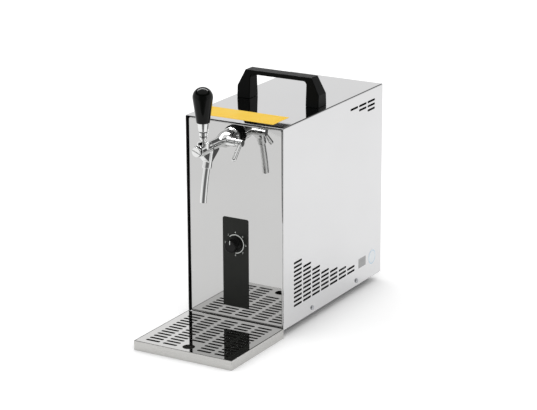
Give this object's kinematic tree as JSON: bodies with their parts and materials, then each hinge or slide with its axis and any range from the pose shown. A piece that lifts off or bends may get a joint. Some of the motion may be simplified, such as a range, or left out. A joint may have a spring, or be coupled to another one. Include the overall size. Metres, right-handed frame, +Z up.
{
  "type": "draft beer dispenser",
  "caption": "Table-top draught beer cooler: polished steel cabinet with side vents, compensator tap, carry handle, thermostat dial and a loose slotted drip tray",
  "frame": {"origin": "on the floor under the middle of the whole part, drip tray included", "axes": "+X to the right seen from the front, +Y to the rear, +Z up; the tap and the tray face -Y"},
  "size_m": [0.1786, 0.502, 0.4102],
  "materials": {
    "polished_steel": "mirror polished stainless steel",
    "plain_steel": "zinc plated sheet",
    "satin_steel": "satin stainless steel",
    "bare_steel": "turned stainless steel",
    "chrome": "bright chrome plate",
    "black_plastic": "fine grained",
    "black_knob": "satin",
    "gloss_black": "high gloss",
    "black_plate": "satin printed plate",
    "black_rubber": "matte",
    "white_plastic": "satin",
    "cream_plastic": "satin",
    "copper": "bare copper",
    "foam": "closed-cell foam",
    "cast_aluminium": "as cast",
    "fin_aluminium": "bright sheet",
    "black_paint": "gloss black paint",
    "motor_grey": "satin paint",
    "fan_plastic": "satin",
    "hose": "clear-white hose",
    "pump_grey": "satin",
    "collet_blue": "satin",
    "rocker_red": "gloss"
  },
  "bodies": {
    "cabinet": {"front_panel": "polished_steel", "wrap_cover": "polished_steel", "rear_panel": "polished_steel", "base_plate": "plain_steel", "cabinet_screws": "plain_steel", "foot_screws": "plain_steel", "handle_backing": "plain_steel", "handle_screws": "plain_steel", "tap_shank": "plain_steel", "shank_nut": "plain_steel", "compressor_bolts": "plain_steel", "condenser_frame": "plain_steel", "fan_shroud": "plain_steel", "fan_bracket": "plain_steel", "rubber_feet": "black_rubber", "compressor_grommets": "black_rubber", "carry_handle": "black_plastic", "tap_rosette": "black_plastic", "push_in_fittings": "black_plastic", "switch_housing": "black_plastic", "cable_gland": "black_plastic", "relay_cover": "black_plastic", "control_plate": "black_plate", "thermostat_body": "cream_plastic", "thermostat_bulb": "copper", "evaporator_coil": "copper", "condenser_coil": "copper", "filter_drier": "copper", "refrigerant_lines": "copper", "tap_collar": "chrome", "tap_body": "chrome", "tap_front_cap": "chrome", "tap_spout": "chrome", "compensator_bush": "chrome", "lever_pin": "bare_steel", "beer_coil": "bare_steel", "insulation_box": "foam", "insulation_lid": "foam", "cooling_block": "cast_aluminium", "condenser_fins": "fin_aluminium", "compressor": "black_paint", "cooler_shelf": "black_paint", "fan_motor": "motor_grey", "inner_hoses": "hose", "air_pump": "pump_grey"},
    "tap_lever": {"tap_lever": "chrome", "tap_knob": "gloss_black"},
    "valve": {"valve_plunger": "bare_steel", "valve_seal": "black_rubber"},
    "compensator": {"compensator_lever": "chrome", "compensator_spindle": "bare_steel"},
    "cone": {"compensator_cone": "white_plastic"},
    "dial": {"thermostat_knob": "black_knob", "thermostat_shaft": "bare_steel"},
    "drip_pan": {"drip_pan": "satin_steel"},
    "drip_grid": {"drip_grid": "satin_steel"},
    "fan": {"fan_blades": "fan_plastic"},
    "rocker": {"switch_rocker": "rocker_red"},
    "beer_collet": {"beer_collet": "collet_blue"},
    "air_collet": {"air_collet": "collet_blue"}
  },
  "joints": [
    {"name": "tap_lever_hinge", "type": "hinge", "parent": "cabinet", "child": "tap_lever", "pos_m": [0, -0.1825, 0.315], "axis": [1, 0, 0], "range_deg": [0, 30]},
    {"name": "valve_slide", "type": "slide", "parent": "cabinet", "child": "valve", "axis": [0, 1, 0], "range_m": [0, 0.0022]},
    {"name": "compensator_hinge", "type": "hinge", "parent": "cabinet", "child": "compensator", "pos_m": [0.0315, -0.127, 0.315], "axis": [1, 0, 0], "range_deg": [-45, 45]},
    {"name": "cone_slide", "type": "slide", "parent": "cabinet", "child": "cone", "axis": [0, 1, 0], "range_m": [-0.00095, 0.00095]},
    {"name": "dial_turn", "type": "hinge", "parent": "cabinet", "child": "dial", "pos_m": [0, -0.092, 0.1397], "axis": [0, 1, 0], "range_deg": [-180, 135]},
    {"name": "drip_pan_slide", "type": "slide", "parent": "cabinet", "child": "drip_pan", "axis": [0, -1, 0], "range_m": [0, 0.16]},
    {"name": "drip_grid_lift", "type": "slide", "parent": "drip_pan", "child": "drip_grid", "axis": [0, 0, 1], "range_m": [0, 0.04]},
    {"name": "fan_spin", "type": "hinge", "parent": "cabinet", "child": "fan", "pos_m": [0, 0, 0.0705], "axis": [0, 1, 0], "continuous": true},
    {"name": "rocker_tilt", "type": "hinge", "parent": "cabinet", "child": "rocker", "pos_m": [-0.05, 0.227, 0.29], "axis": [1, 0, 0], "range_deg": [-16, 0]},
    {"name": "beer_collet_press", "type": "slide", "parent": "cabinet", "child": "beer_collet", "axis": [0, -1, 0], "range_m": [0, 0.0018], "stiffness_N_per_m": 400},
    {"name": "air_collet_press", "type": "slide", "parent": "cabinet", "child": "air_collet", "axis": [0, -1, 0], "range_m": [0, 0.0018], "stiffness_N_per_m": 400}
  ],
  "couplings": [
    {"joint": "valve_slide", "follows": "tap_lever_hinge", "m_per_rad": 0.004},
    {"joint": "cone_slide", "follows": "compensator_hinge", "m_per_rad": 0.0012}
  ]
}
